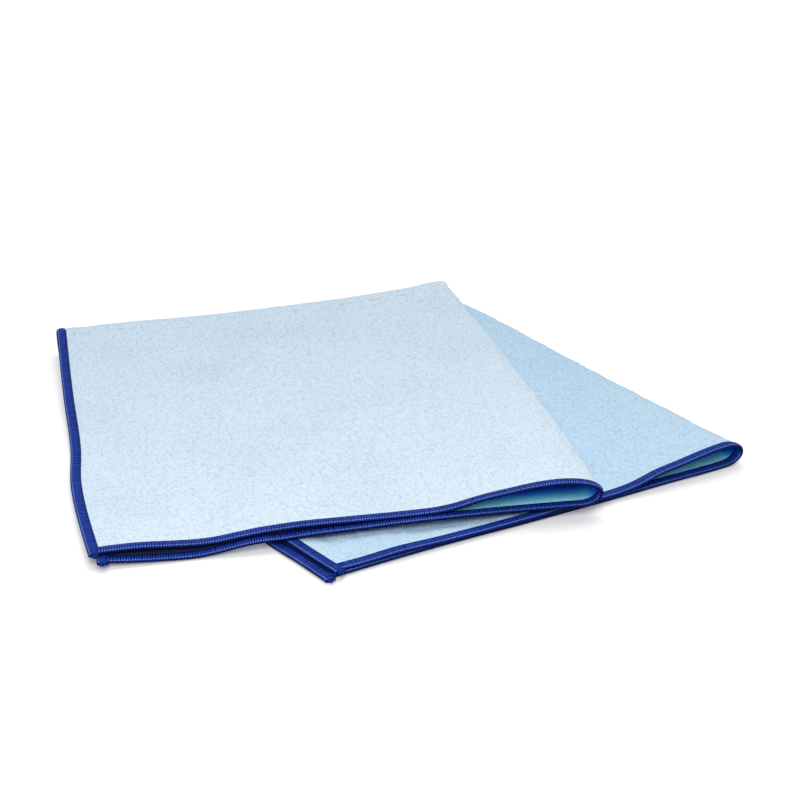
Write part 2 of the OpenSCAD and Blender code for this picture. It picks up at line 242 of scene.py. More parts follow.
def sheetRow(half, u, f):  # middle of the sheet at cloth columns u, f of the way to the front
    x, h, along = loopLine(half, f)
    t = u - half["bottomWidth"]
    s = np.interp(t, along, x) + np.maximum(along[0] - t, 0) + np.maximum(t - along[-1], 0)
    rise = np.interp(t, along, h)
    ply = ease((t - along[0]) / (along[-1] - along[0]))
    edge = np.minimum(u, cloth["width"] - u)
    reach = half["run"] + half["stagger"] * (1 - 2 * ply)
    far = farEdge(half, s)
    r = far + (reach - far) * f
    fromFront = reach - r
    nearFront = ease(1 - fromFront / cloth["frontFade"])
    nearFold = ease(1 - (r - far) / cloth["foldFade"])

    def plies(name, place):
        top = throughPoints(half["top" + name], place)
        bottom = throughPoints(half["bottom" + name], place)
        return top * ply + bottom * (1 - ply)

    way = np.full_like(s, f)
    side = (s + plies("Side", way) * ease(s / outerWidth)
            + throughPoints(half["crease"], way) * ease(1 - s / cloth["creaseFade"]))
    back = throughPoints(cloth["foldBack"], s) * nearFold * ply if half["base"] else 0
    xy = toPlan(half, r + plies("Reach", s) * nearFront - back, side)
    nearCorner = np.exp(-(xy ** 2).sum(1) / cloth["bluntReach"] ** 2)
    xy = xy - cloth["blunt"] * math.sqrt(0.5) * nearCorner[:, None]
    fromHem = np.minimum(edge, fromFront)
    nearHem = ease((cloth["flareWidth"] - fromHem) / (cloth["flareWidth"] - hemInset))
    # the plies part where the thicker hems lie on each other
    flare = nearHem * ((hem["thickness"] - cloth["thickness"]) * (0.5 + ply) + hem["loft"])
    margin = cloth["drapeMargin"]
    level = toPlan(half, np.minimum(r, reach - hemInset), np.minimum(s, innerWidth - hemInset - margin))
    drape = ease((level @ lowerSide - outerWidth + margin) / cloth["drapeWidth"])
    base = half["base"] * (1 - drape)
    z = base + cloth["thickness"] / 2 + rise + flare
    if half["base"]:
        lift = np.clip(-level[:, 0] / outerWidth, 0, 1) ** 3
        z = z + ply * cloth["cornerLift"] * lift * np.clip(1 + level[:, 1] / cloth["liftReach"], 0, 1) ** 2
        share = cloth["swellShare"]
        z = z + throughPoints(cloth["foldSwell"], s) * nearFold * (share + (1 - share) * ply)
    return np.column_stack([xy, z + plies("Wave", s) * nearFront])


def evenSteps(a, b, cell):  # an even number of steps of about one cell
    n = 2 * math.ceil((b - a) / cell / 2)
    return np.linspace(a, b, n + 1)


def columnPlaces(half):  # finer round the first fold and in the hems
    tip = half["bottomWidth"]
    fine = cloth["fineWidth"]
    stops = [(0, hem["width"], hem["step"]), (hem["width"], tip - fine, cloth["cell"]),
             (tip - fine, tip + fine, cloth["fineCell"]),
             (tip + fine, cloth["width"] - hem["width"], cloth["cell"]),
             (cloth["width"] - hem["width"], cloth["width"], hem["step"])]
    return np.unique(np.concatenate([evenSteps(*s) for s in stops]))


def rowPlaces(half):  # from just short of the far fold, where the strips take over
    return evenSteps(cloth["foldRoom"] / half["run"], 1, cloth["cell"] / half["run"])


def gridNormals(grid):  # outward on a half: down on its bottom ply, up on its top ply
    across = np.gradient(grid, axis=1)
    forward = np.gradient(grid, axis=0)
    return unit(np.cross(across, forward))


def placed(points):  # from the fold's end in millimetres to the frame in metres
    return (points + np.array([foldEnd[0], foldEnd[1], 0])) * mm


def newObject(name, verts, faces, materials=(), faceMaterial=None, edges=()):
    mesh = bpy.data.meshes.new(name)
    mesh.from_pydata(np.asarray(verts, float).tolist(), list(edges), faces)
    for m in materials:
        mesh.materials.append(m)
    if faceMaterial is not None:
        mesh.polygons.foreach_set("material_index", np.asarray(faceMaterial, np.int32))
    mesh.polygons.foreach_set("use_smooth", np.full(len(mesh.polygons), True))
    mesh.update()
    obj = bpy.data.objects.new(name, mesh)
    bpy.context.scene.collection.objects.link(obj)
    return obj


def faceOutwards(obj):
    work = bmesh.new()
    work.from_mesh(obj.data)
    bmesh.ops.recalc_face_normals(work, faces=work.faces)
    work.to_mesh(obj.data)
    work.free()


def gridFaces(n, m, start, flip):
    i = (np.arange(n - 1)[:, None] * m + np.arange(m - 1)[None, :] + start).ravel()
    quads = np.stack([i, i + 1, i + m + 1, i + m], 1)
    return (quads[:, ::-1] if flip else quads).tolist()


def rimFaces(outside, inside, flip):  # two outer steps to one inner step
    faces = []
    for k in range(0, len(outside) - 1, 2):
        a, b, c = outside[k:k + 3]
        p, q = inside[k // 2:k // 2 + 2]
        faces += [[a, b, p], [b, q, p], [b, c, q]]
    return [f[::-1] for f in faces] if flip else faces


def sheetMesh(name, outer, inner, materials):  # closed: fine outer skin, inner skin of every second point
    n, m = outer.shape[:2]
    inner = inner[::2, ::2]
    n2, m2 = inner.shape[:2]
    verts = np.concatenate([outer.reshape(-1, 3), inner.reshape(-1, 3)])
    out = np.arange(n * m).reshape(n, m)
    ins = np.arange(n2 * m2).reshape(n2, m2) + n * m
    outFaces = gridFaces(n, m, 0, False)
    rims = (rimFaces(out[0], ins[0], True) + rimFaces(out[-1], ins[-1], False)
            + rimFaces(out[:, 0], ins[:, 0], False) + rimFaces(out[:, -1], ins[:, -1], True))
    inFaces = gridFaces(n2, m2, n * m, True)
    faceMaterial = [0] * (len(outFaces) + len(rims)) + [1] * len(inFaces)
    return newObject(name, placed(verts), outFaces + rims + inFaces, materials, faceMaterial)


def tubeFaces(rings, sides, start=0):  # closed at both ends
    faces = []
    for k in range(rings - 1):
        for j in range(sides):
            a = start + k * sides + j
            b = start + k * sides + (j + 1) % sides
            faces.append([a, b, b + sides, a + sides])
    faces.append([start + j for j in range(sides)][::-1])
    faces.append([start + (rings - 1) * sides + j for j in range(sides)])
    return faces


# camera at the photograph's viewpoint, fitted for an 800 by 800 picture
viewpoint = {
    "place": (-0.2529, -0.6837, 0.3241),
    "pitch": math.radians(23.25),
    "yaw": math.radians(-21.88),
    "lens": 81.0,
    "sensor": 36.0,
    "nearest": 0.01,
}


def makeCamera():
    data = bpy.data.cameras.new("viewpoint")
    data.lens = viewpoint["lens"]
    data.sensor_width = viewpoint["sensor"]
    data.clip_start = viewpoint["nearest"]
    camera = bpy.data.objects.new("viewpoint", data)
    camera.location = viewpoint["place"]
    camera.rotation_euler = (math.pi / 2 - viewpoint["pitch"], 0, viewpoint["yaw"])
    bpy.context.scene.collection.objects.link(camera)
    bpy.context.scene.camera = camera


makeCamera()
print("camera set")


def startMaterial(name):
    m = bpy.data.materials.new(name)
    m.use_nodes = True
    return m, m.node_tree, m.node_tree.nodes["Principled BSDF"]


def addNode(tree, kind, **sockets):
    node = tree.nodes.new(kind)
    for name, value in sockets.items():
        node.inputs[name].default_value = value
    return node


def noiseNode(tree, vector, scale, detail=2):
    noise = tree.nodes.new("ShaderNodeTexNoise")
    noise.inputs["Scale"].default_value = scale
    noise.inputs["Detail"].default_value = detail
    tree.links.new(vector, noise.inputs["Vector"])
    return noise.outputs["Fac"]


def rampNode(tree, value, stops):
    ramp = tree.nodes.new("ShaderNodeValToRGB")
    elements = ramp.color_ramp.elements
    while len(elements) < len(stops):
        elements.new(0.5)
    for element, (place, colour) in zip(elements, stops):
        element.position = place
        element.color = (*colour, 1)
    tree.links.new(value, ramp.inputs["Fac"])
    return ramp.outputs["Color"]


def mixColours(tree, kind, amount, a, b):
    mix = tree.nodes.new("ShaderNodeMix")
    mix.data_type = "RGBA"
    mix.blend_type = kind
    if isinstance(amount, float):
        mix.inputs["Factor"].default_value = amount
    else:
        tree.links.new(amount, mix.inputs["Factor"])
    tree.links.new(a, mix.inputs["A"])
    tree.links.new(b, mix.inputs["B"])
    return mix.outputs["Result"]


def bumpNode(tree, height, strength, distance):
    bump = addNode(tree, "ShaderNodeBump", Strength=strength, Distance=distance)
    tree.links.new(height, bump.inputs["Height"])
    return bump.outputs["Normal"]


# plush pile: speckle of tufts, soft patches where the nap lies over
pileLook = {
    "tuftScale": 950.0,  # per metre
    "fibreScale": 2600.0,
    "patchScale": 22.0,
    "streak": 0.5,  # tufts run along the cloth
    "shade": (0.78, 0.84, 0.90),  # colour between the tufts and on them, as shares
    "shine": 1.08,
    "grainStops": (0.30, 0.50, 0.72),
    "fine": [(0.25, (0.94, 0.95, 0.96)), (0.55, (1, 1, 1))],
    "patch": [(0.30, (0.93, 0.95, 0.97)), (0.52, (1, 1, 1))],
    "bump": 0.6,
    "bumpDepth": 0.0004,
}
pileShader = {"Roughness": 0.95, "Specular IOR Level": 0.1, "Sheen Weight": 0.1, "Sheen Roughness": 0.6,
              "Sheen Tint": (0.9, 0.96, 1, 1)}


def grainRamp(tree, tufts, colour):
    dark = tuple(c * k for c, k in zip(colour, pileLook["shade"]))
    light = tuple(min(c * pileLook["shine"], 1) for c in colour)
    return rampNode(tree, tufts, list(zip(pileLook["grainStops"], (dark, colour, light))))


def attributeNode(tree, name):
    node = tree.nodes.new("ShaderNodeAttribute")
    node.attribute_name = name
    return node.outputs["Fac"]


def makeMicrofibre(title, colour, reversedNapShade=None, insideShades=None):
    m, tree, shader = startMaterial(title)
    place = tree.nodes.new("ShaderNodeTexCoord").outputs["Object"]
    turn = addNode(tree, "ShaderNodeMapping", Scale=(1, pileLook["streak"], 1))
    tree.links.new(place, turn.inputs["Vector"])
    along = turn.outputs["Vector"]
    tufts = noiseNode(tree, along, pileLook["tuftScale"], detail=3)
    fibres = noiseNode(tree, along, pileLook["fibreScale"])
    patches = noiseNode(tree, place, pileLook["patchScale"], detail=3)
    grain = grainRamp(tree, tufts, colour)
    # painted shade: the nap attribute mixes in the darker, bluer colour of the reversed nap
    if reversedNapShade:
        grain = mixColours(tree, "MIX", attributeNode(tree, "nap"), grain, grainRamp(tree, tufts, reversedNapShade))
    fine = rampNode(tree, fibres, pileLook["fine"])
    nap = rampNode(tree, patches, pileLook["patch"])
    base = mixColours(tree, "MULTIPLY", 1.0, mixColours(tree, "MULTIPLY", 1.0, grain, fine), nap)
    # painted shade: darker inside the loops, by the attribute set on the inner skin
    if insideShades:
        insideShadeColour = rampNode(tree, attributeNode(tree, "depth"), insideShades)
        base = mixColours(tree, "MULTIPLY", 1.0, base, insideShadeColour)
    tree.links.new(base, shader.inputs["Base Color"])
    raised = bumpNode(tree, tufts, pileLook["bump"], pileLook["bumpDepth"])
    tree.links.new(raised, shader.inputs["Normal"])
    for name, value in pileShader.items():
        shader.inputs[name].default_value = value
    return m


def multiplied(tree, a, b, clamp=False):
    node = tree.nodes.new("ShaderNodeMath")
    node.operation = "MULTIPLY"
    node.use_clamp = clamp
    for socket, value in zip(node.inputs, (a, b)):
        tree.links.new(value, socket)
    return node.outputs["Value"]


threadLook = {
    "fibreScale": 3200.0,  # per metre
    "wearScale": 90.0,
    "stops": (0.30, 0.65),
    "bump": 0.35,
    "bumpDepth": 0.0002,
    "specular": 0.08,
}


def threadNoise(tree):  # fibres of the thread, and its wear
    place = tree.nodes.new("ShaderNodeTexCoord").outputs["Object"]
    fibres = noiseNode(tree, place, threadLook["fibreScale"])
    return fibres, noiseNode(tree, place, threadLook["wearScale"])


def twoTone(tree, value, dark, light=(1, 1, 1)):
    return rampNode(tree, value, list(zip(threadLook["stops"], (dark, light))))


def finishThread(tree, shader, base, fibres, roughness):
    tree.links.new(base, shader.inputs["Base Color"])
    raised = bumpNode(tree, fibres, threadLook["bump"], threadLook["bumpDepth"])
    tree.links.new(raised, shader.inputs["Normal"])
    shader.inputs["Roughness"].default_value = roughness
    shader.inputs["Specular IOR Level"].default_value = threadLook["specular"]


def makeThread(name, colour, shade, roughness):  # spun polyester thread
    m, tree, shader = startMaterial(name)
    fibres, wear = threadNoise(tree)
    strand = twoTone(tree, fibres, shade, colour)
    faded = twoTone(tree, wear, (0.82, 0.84, 0.88))
    finishThread(tree, shader, mixColours(tree, "MULTIPLY", 1.0, strand, faded), fibres, roughness)
    return m


def mixValues(tree, amount, a, b):
    mix = tree.nodes.new("ShaderNodeMix")
    for name, value in (("Factor", amount), ("A", a), ("B", b)):
        tree.links.new(value, mix.inputs[name])
    return mix.outputs["Result"]


# looper thread with painted light: painted shade where it dives and at the rim, a painted highlight where
# it turns over the edge
looperLightAndShade = [(0.0, (0.0012, 0.003, 0.05)), (0.35, (0.003, 0.022, 0.20)), (0.70, (0.011, 0.058, 0.42)),
               (0.86, (0.04, 0.11, 0.50)), (1.0, (0.42, 0.50, 0.86))]


def makeLooperThread(name, roughness):
    m, tree, shader = startMaterial(name)
    # painted light: the side of a hem that faces up takes the lit tones, the side facing down the shaded
    # under tones
    up = multiplied(tree, attributeNode(tree, "high"), attributeNode(tree, "shown"), True)
    tone = mixValues(tree, up, attributeNode(tree, "under"), attributeNode(tree, "tone"))
    tone = rampNode(tree, tone, looperLightAndShade)
    fibres, wear = threadNoise(tree)
    strand = twoTone(tree, fibres, (0.70, 0.72, 0.76))
    faded = twoTone(tree, wear, (0.80, 0.82, 0.86))
    base = mixColours(tree, "MULTIPLY", 1.0, mixColours(tree, "MULTIPLY", 1.0, tone, strand), faded)
    finishThread(tree, shader, base, fibres, roughness)
    return m


# painted shade: the nap lies the other way on the faces that are folded together, and they are painted
# darker and bluer for how it catches the light there
plushOutside = makeMicrofibre("plushOutside", (0.71, 0.835, 0.94), (0.54, 0.73, 0.89))
# painted shade of the inside pile, from light at the loop's mouth to dark far inside it
insideShadeRamp = [(0.0, (1, 1, 1)), (0.3, (0.40, 0.88, 1)), (0.6, (0.06, 0.40, 1)),
                (0.85, (0.012, 0.10, 0.6)), (1.0, (0.003, 0.010, 0.08))]
# painted light: the inner skin is the same cloth as the outside, painted a stronger cyan for light bounced
# round inside the loops
plushInside = makeMicrofibre("plushInside", (0.42, 0.88, 0.99), insideShades=insideShadeRamp)
hemShade = makeThread("hemShade", (0.003, 0.012, 0.13), (0.001, 0.005, 0.07), roughness=0.8)
hemThread = makeLooperThread("hemThread", roughness=0.6)
tailThread = makeThread("tailThread", (0.007, 0.040, 0.32), (0.003, 0.018, 0.19), roughness=0.5)
# the needle thread's own navy, painted darker as shade along the hem's inner border
needleThread = makeThread("needleThread", (0.004, 0.022, 0.21), (0.002, 0.012, 0.13), roughness=0.5)
print("materials made")


# pile relief, as heights over the sheet's skin
pile = {"tuft": 0.13, "tuftRounds": 1, "clump": 0.09, "clumpRounds": (9, 5), "fade": 4.0, "floor": 0.02}


def smoothed(a, rounds, axis):
    for _ in range(rounds):
        a = (np.roll(a, 1, axis) + 2 * a + np.roll(a, -1, axis)) / 4
    return a


def pileRelief(shape, seed):
    draw = np.random.default_rng(seed)
    tufts = smoothed(draw.standard_normal(shape), pile["tuftRounds"], 0)
    clumps = draw.standard_normal(shape)
    for axis, rounds in enumerate(pile["clumpRounds"]):
        clumps = smoothed(clumps, rounds, axis)
    return pile["tuft"] * tufts / tufts.std() + pile["clump"] * clumps / clumps.std()


# painted shade inside the loops: the inner skin is painted darker between these ways from the front, along
# the loop and towards its tip, up to this share of the shade ramp
insideShadeReach = {"front": (4.5, 20.0, 0.86), "loop": (50.0, 80.0, 1.0), "tip": (9.0, 1.0, 0.85)}
napShadeTurn = (9.0, 2.0)  # painted nap shade: how far under the first fold the upper half's nap changes to the darker, bluer colour
napShadeFar = (0.10, 0.32)  # share of the painted nap shade at the far fold, at the right and at the left


def setAttribute(obj, name, values):
    layer = obj.data.attributes.new(name, "FLOAT", "POINT")
    layer.data.foreach_set("value", np.ascontiguousarray(values, np.float32).ravel())


def plyThickness(fromHem):
    inside = ease((fromHem - hem["width"] + hem["pressIn"]) / hem["pressOver"])
    return hem["core"] + (cloth["thickness"] - hem["core"]) * inside


def makeHalf(half):
    u = columnPlaces(half)
    f = rowPlaces(half)
    grid = np.stack([sheetRow(half, u, k) for k in f])
    normals = gridNormals(grid)
    fromFar = f[:, None] * half["run"]
    fromFront = half["run"] - fromFar
    fromSide = np.minimum(u, cloth["width"] - u)[None, :]
    fromHem = np.minimum(fromSide, fromFront)
    thin = hem["cutEdge"]
    skin = plyThickness(fromHem) * (thin + (1 - thin) * ease(fromHem / hem["step"]))
    relief = pileRelief(grid.shape[:2], half["pileSeed"])
    relief = relief * ease((fromHem - hem["width"]) / pile["fade"]) * ease(fromFar / pile["fade"] - 1)
    outer = grid + normals * (skin / 2 + relief)[..., None]
    outer[..., 2] = np.maximum(outer[..., 2], pile["floor"])
    inner = grid - normals * (skin / 2)[..., None]
    obj = sheetMesh(half["name"] + "_cloth", outer, inner, [plushOutside, plushInside])
    # nap: share of the painted darker, bluer nap shade at each point
    nap = np.ones(grid.shape[:2])
    if half["base"]:
        across = ease((u - half["bottomWidth"]) / half["topWidth"])
        laid = (1 - f)[:, None] * (napShadeFar[0] + (napShadeFar[1] - napShadeFar[0]) * across)
        nap = np.maximum(laid, ease((half["bottomWidth"] - napShadeTurn[1] - u) / (napShadeTurn[0] - napShadeTurn[1])))
    setAttribute(obj, "nap", np.concatenate([nap.ravel(), nap[::2, ::2].ravel()]))
    fromFold = np.abs(u - half["bottomWidth"])[None, :]
    # painted shade of the inner skin, darker further into the loops
    depth = np.zeros(grid.shape[:2])
    for name, way in (("front", fromFront), ("loop", fromFold), ("tip", fromFold)):
        clear, dark, most = insideShadeReach[name]
        depth = np.maximum(depth, most * ease((way - clear) / (dark - clear)))
    setAttribute(obj, "depth", np.concatenate([np.zeros(depth.size), depth[::2, ::2].ravel()]))
    return obj


halfPieces = {}
for half in (lowerHalf, upperHalf):
    piece = makeHalf(half)
    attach(piece, half["body"])
    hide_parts(half["name"] + "_panel")
    halfPieces[half["name"]] = piece
    print(piece.name, len(piece.data.polygons), "faces")


# the two strips of cloth that turn round the far fold
foldStrip = {
    "lap": (8.0, 5.5, 3.0, 1.2),  # rows laid on each half, by their way from the fold
    "ringSteps": 12,
    "proud": 0.05,
    "tuck": 0.12,
    "cell": 1.25,
    "endBulge": 0.4,  # share of the bulge left at the side edge
    "bulgeReach": 22.0,
    "fromSide": 3.0,  # the strip's side edge ends inside the hem
    "bendFade": 3,  # rows over which the pile rises
    "pileShare": 0.7,
    "outerSeed": 21,
    "innerSeed": 22,
}


def stripGrid(outer, start=0.0):  # from the lower half's ply, round the fold, to the upper half's ply
    width = outerWidth if outer else innerWidth
    d = evenSteps(start, width, foldStrip["cell"])
    lowerColumns = d if outer else cloth["width"] - d
    upperColumns = cloth["width"] - d if outer else d
    rows = [sheetRow(lowerHalf, lowerColumns, e / lowerHalf["run"]) for e in foldStrip["lap"]]
    bottom = sheetRow(lowerHalf, lowerColumns, 0)
    top = sheetRow(upperHalf, upperColumns, 0)
    middle = (bottom + top) / 2
    least = foldStrip["endBulge"]
    reach = (top - bottom)[:, 2] / 2 * (least + (1 - least) * ease(d / foldStrip["bulgeReach"]))
    for a in np.linspace(-math.pi / 2, math.pi / 2, foldStrip["ringSteps"] + 1):
        row = middle + (top - bottom) / 2 * math.sin(a)
        row[:, 1] += reach * math.cos(a)
        rows.append(row)
    rows += [sheetRow(upperHalf, upperColumns, e / upperHalf["run"]) for e in foldStrip["lap"][::-1]]
    return np.stack(rows)


def makeStrip(outer):
    grid = stripGrid(outer, foldStrip["fromSide"])
    if outer:
        grid = grid[:, ::-1]
    normals = gridNormals(grid)
    rows, columns = grid.shape[:2]
    lap = len(foldStrip["lap"])
    fromEnd = np.minimum(np.arange(rows), np.arange(rows)[::-1])
    inLap = ease(fromEnd / lap)
    d = np.linspace(foldStrip["fromSide"], outerWidth if outer else innerWidth, columns)
    fromSide = d[::-1] if outer else d
    proud = -foldStrip["tuck"] + (foldStrip["proud"] + foldStrip["tuck"]) * inLap
    offset = plyThickness(fromSide)[None, :] / 2 + proud[:, None]
    bend = ease((fromEnd - lap) / foldStrip["bendFade"])
    relief = pileRelief((rows, columns), foldStrip["outerSeed" if outer else "innerSeed"])
    relief = relief * (bend[:, None] * foldStrip["pileShare"])
    relief = relief * ease((fromSide - hem["width"]) / pile["fade"])[None, :]
    name = "far_fold_outer_cloth" if outer else "far_fold_inner_cloth"
    skinOut = grid + normals * (offset + relief)[..., None]
    skinOut[..., 2] = np.maximum(skinOut[..., 2], pile["floor"])
    skinIn = grid - normals * offset[..., None]
    obj = sheetMesh(name, skinOut, skinIn, [plushOutside, plushOutside])
    # the outer strip grades the painted nap shade like the upper half; the inner strip takes it in full
    laid = napShadeFar[0] + (napShadeFar[1] - napShadeFar[0]) * ease(1 - fromSide / outerWidth)
    nap = np.broadcast_to(laid if outer else 1.0, (rows, columns))
    setAttribute(obj, "nap", np.concatenate([nap.ravel(), nap[::2, ::2].ravel()]))
    return obj


stripPieces = {outer: makeStrip(outer) for outer in (True, False)}
print("fold strips made")


# overlocked hems: looper thread wrapped round the edge, stitch by stitch
overlock = {
    "pitch": 1.0,
    "threadWide": 0.44,  # half widths of the lying thread
    "threadHigh": 0.15,
    "sides": 6,
    "lean": 0.4,  # how far a stitch leans along the hem
    "sway": math.radians(5),
    "swell": 0.05,
    "section": [(-4.05, 0.30), (-3.60, 0.66), (-2.60, 0.92), (-1.30, 0.92), (-0.80, 0.84), (-0.35, 0.64),
                (0.10, 0.32)],
    "innerShare": 0.74,  # the hem swells less on the side that is folded in
    "nose": 0.25,
    "sink": 0.10,  # the ground under the stitches
    "litTones": (0.15, 0.50, 0.66, 0.68, 0.72, 1.0, 0.50, 0.12),  # painted light from the needle line to the edge: painted shade at the needle line and the rim, a painted highlight where the thread turns over the edge
    "shadedUnderTones": (0.10, 0.45, 0.60, 0.62, 0.52, 0.28, 0.0, 0.0),  # the same on the side that lies down, in painted shade without the highlight
    "crestHighlight": (0.72, 0.72, 0.72, 0.72, 1, 1),  # round the thread, a painted highlight along its crest
    "ridge": [(-3.60, -0.60), (-4.15, -0.62), (-4.38, -0.55), (-4.42, -0.38)],  # smooth inner border
    "cornerLap": 0.6,
    "overrun": (0.5, 1.0),  # how far a side hem runs past the front edge
    "litSideGain": 4.0,  # how soon the painted lit side of a thread gives way to its painted dark side
}
needleRow = {
    "pitch": 1.0,
    "long": 1.3,
    "dive": 0.10,
    "wide": 0.22,
    "inFromHem": -0.05,
    "height": 0.58,
    "sway": math.radians(3),
    "swell": 0.05,
    "rings": 7,
    "sides": 6,
}
threadTails = {
    "long": 3.4,
    "start": 1.2,  # how far back under the hem the strands begin
    "stagger": 0.08,  # each strand is cut this share shorter
    "strands": 4,
    "strand": 0.52,
    "wide": 1.15,
    "high": 0.50,
    "taper": 0.75,
    "tip": 0.5,
    "turns": 0.8,
    "rings": 9,
    "sides": 6,
}


def stations(edge, inner, side):  # places along a hem, with the ways out of the cloth and off its face
    out = unit(edge - inner)
    along = unit(np.gradient(edge, axis=0))
    face = unit(np.cross(along, out)) * side
    # shown: how far each station faces up, for the painted light of its threads
    return {"edge": edge, "out": unit(np.cross(along, face) * -side), "face": face, "along": along,
            "shown": overlock["litSideGain"] * face[:, 2]}


def frontStations(half):
    u = columnPlaces(half)
    lap = hem["width"] - overlock["cornerLap"]
    u = u[(u >= lap) & (u <= cloth["width"] - lap)]
    return stations(sheetRow(half, u, 1), sheetRow(half, u, 1 - hem["width"] / half["run"]), 1)


def sideStations(half, top):
    u = np.array([0, hem["width"]])
    if top:
        u = cloth["width"] - u
    over = 1 + np.array(overlock["overrun"]) / half["run"]
    rows = np.stack([sheetRow(half, u, f) for f in (*rowPlaces(half), *over)])
    return stations(rows[:, 0], rows[:, 1], -1 if top else 1)


def bendStations(outer):
    grid = stripGrid(outer)
    lap = len(foldStrip["lap"]) - 2
    grid = grid[lap:-lap]
    inside = int(round(hem["width"] / foldStrip["cell"]))
    st = stations(grid[:, 0], grid[:, inside], -1)
    # the bend's hem takes the painted lit tones on both sides
    st["shown"] = np.full(len(grid), overlock["litSideGain"])
    return st


def hemSection(sink):  # from the needle line on the outer face, round the edge, to the inner face
    top = overlock["section"]
    inner = [(o, -n * overlock["innerShare"] + sink) for o, n in top[::-1]]
    return [(o, n - sink) for o, n in top] + [(overlock["nose"] - sink, 0)] + inner


def wrapMesh(name, st):
    profile = hemSection(overlock["sink"])[:-2] + overlock["ridge"]
    rings = [st["edge"] + st["out"] * o + st["face"] * n for o, n in profile]
    verts = np.stack(rings, 1).reshape(-1, 3)
    obj = newObject(name, placed(verts), tubeFaces(len(st["edge"]), len(profile)), [hemShade])
    faceOutwards(obj)
    return obj


def sweptTube(path, wide, high, sides):  # flattened tube along a path in the plane of its first two ways
    path = np.asarray(path, float)
    along = unit(np.gradient(path, axis=0))
    acrossWay = unit(np.cross(np.array([0, 1.0, 0]), along))
    flatWay = unit(np.cross(along, acrossWay))
    a = np.linspace(0, 2 * math.pi, sides, endpoint=False)
    rings = (path[:, None] + flatWay[:, None] * (wide * np.cos(a))[None, :, None]
             + acrossWay[:, None] * (high * np.sin(a))[None, :, None])
    return rings.reshape(-1, 3)


def looperStitch():  # one thread from the needle line, round the edge and back underneath
    path = hemSection(0)
    sway = np.linspace(overlock["lean"] / 2, -overlock["lean"] / 2, len(path))
    points = [(o, y, n) for (o, n), y in zip(path, sway)]
    verts = sweptTube(points, overlock["threadWide"], overlock["threadHigh"], overlock["sides"])
    obj = newObject("looperStitch", verts * mm, tubeFaces(len(points), overlock["sides"]), [hemThread])
    faceOutwards(obj)
    high = np.array([n for o, n in path]) / max(n for o, n in path)
    # painted light and shade across the section, mirrored onto the inner face
    litTones = overlock["litTones"] + overlock["litTones"][-2::-1]
    under = overlock["shadedUnderTones"] + overlock["shadedUnderTones"][-2::-1]
    setAttribute(obj, "high", np.repeat(high, overlock["sides"]))
    setAttribute(obj, "tone", np.outer(litTones, overlock["crestHighlight"]))
    setAttribute(obj, "under", np.repeat(under, overlock["sides"]))
    return obj


def needleStitch():  # a straight stitch that dives at both ends
    count = needleRow["rings"]
    sides = needleRow["sides"]
    a = np.linspace(-1, 1, count)
    points = np.column_stack([np.zeros(count), a * needleRow["long"] / 2, -needleRow["dive"] * a ** 4])
    turn = np.linspace(0, 2 * math.pi, sides, endpoint=False)
    wide = needleRow["wide"]
    rings = np.stack([points + np.array([wide * math.cos(t), 0, wide * math.sin(t)]) for t in turn], 1)
    obj = newObject("needleStitch", rings.reshape(-1, 3) * mm, tubeFaces(count, sides), [needleThread])
    faceOutwards(obj)
    return obj


